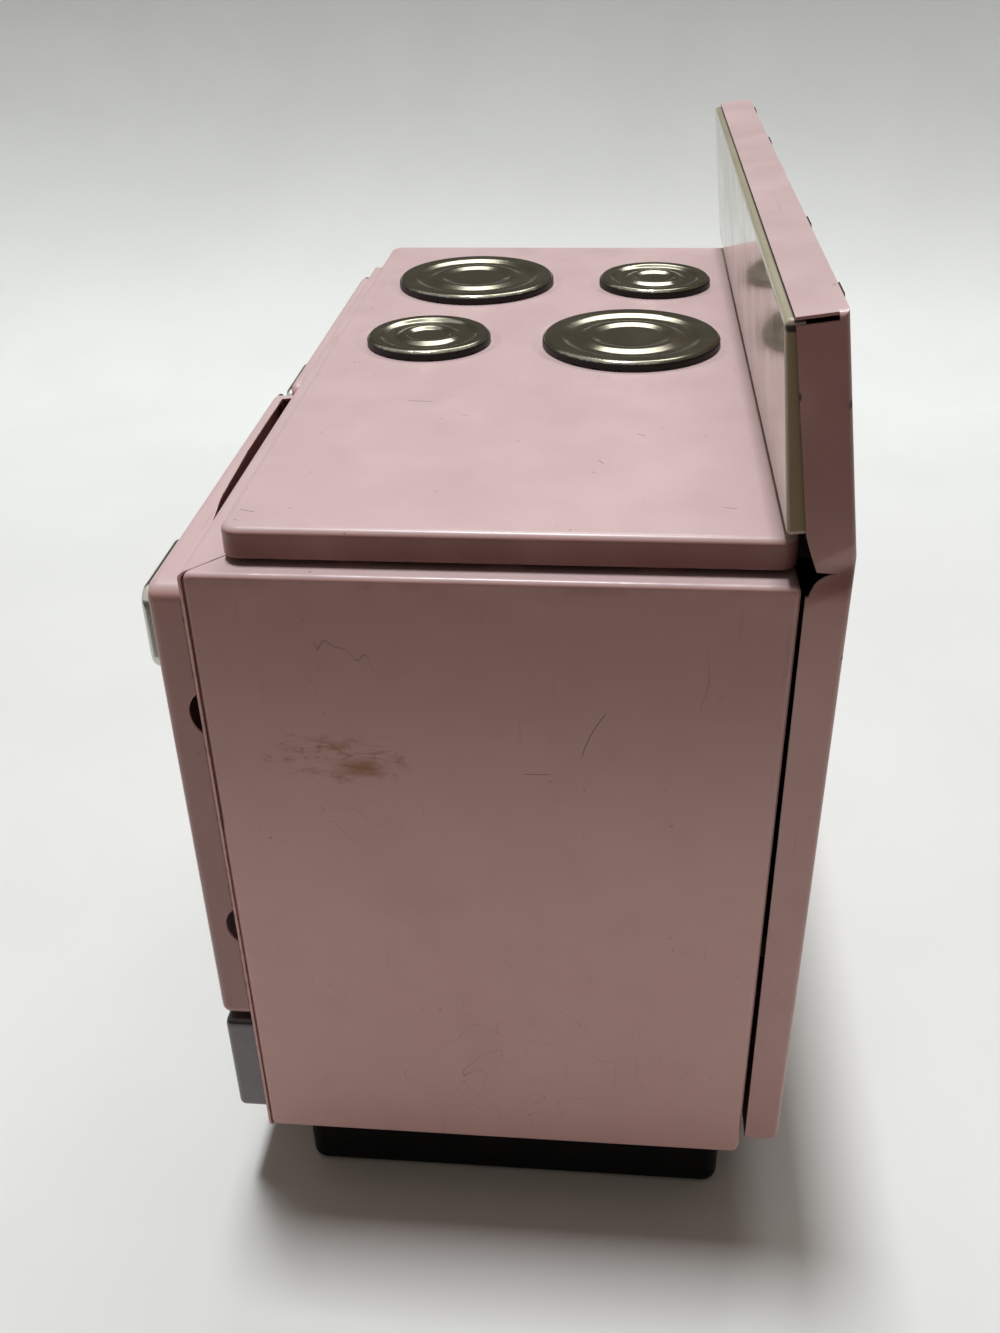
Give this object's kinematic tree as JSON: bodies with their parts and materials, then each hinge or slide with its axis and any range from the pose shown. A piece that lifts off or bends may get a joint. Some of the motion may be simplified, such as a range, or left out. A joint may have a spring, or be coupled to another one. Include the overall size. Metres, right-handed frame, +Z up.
{
  "type": "toy oven",
  "caption": "Child's folded tinplate kitchen range with stamped burners, two side-hung doors over an oven and a cupboard, and a backsplash that leans forward.",
  "frame": {"origin": "on the floor, under the middle of the range's width and midway between the side panels' front and back edges", "axes": "+X to the right of someone who faces the doors, +Y to the back, +Z up"},
  "size_m": [0.2908, 0.1789, 0.2968],
  "materials": {
    "body_enamel": "glossy pink stove enamel, lightly scratched, chipped dark at the folds",
    "cream_enamel": "glossy cream enamel with printed dials",
    "grey_enamel": "satin grey enamel",
    "black_enamel": "satin black enamel",
    "burner_plate": "polished plating, dulled and browned at the skirt",
    "handle_plate": "polished plating",
    "bare_tinplate": "bare tinplate, dulled",
    "hinge_wire": "drawn wire"
  },
  "bodies": {
    "casing": {"back_inner_burner": "burner_plate", "back_left_burner": "burner_plate", "back_panel": "body_enamel", "control_face": "cream_enamel", "cooktop": "body_enamel", "floor_pan": "bare_tinplate", "front_frame": "body_enamel", "front_inner_burner": "burner_plate", "front_left_burner": "burner_plate", "kick_panel": "grey_enamel", "left_side_panel": "body_enamel", "oven_shelf": "bare_tinplate", "partition": "bare_tinplate", "plinth": "black_enamel", "rear_rail": "bare_tinplate", "right_side_panel": "body_enamel"},
    "right_door": {"right_door": "body_enamel", "right_door_handle": "handle_plate", "right_door_hinge_rod": "hinge_wire"},
    "left_door": {"left_door": "body_enamel", "left_door_handle": "handle_plate", "left_door_hinge_rod": "hinge_wire"}
  },
  "joints": [
    {"name": "right_door_hinge", "type": "hinge", "parent": "casing", "child": "right_door", "pos_m": [0.00566, -0.08394, 0.14975], "axis": [0, 0, -1], "range_deg": [0, 105]},
    {"name": "left_door_hinge", "type": "hinge", "parent": "casing", "child": "left_door", "pos_m": [-0.14194, -0.08024, 0.14975], "axis": [0, 0, -1], "range_deg": [0, 105]}
  ]
}
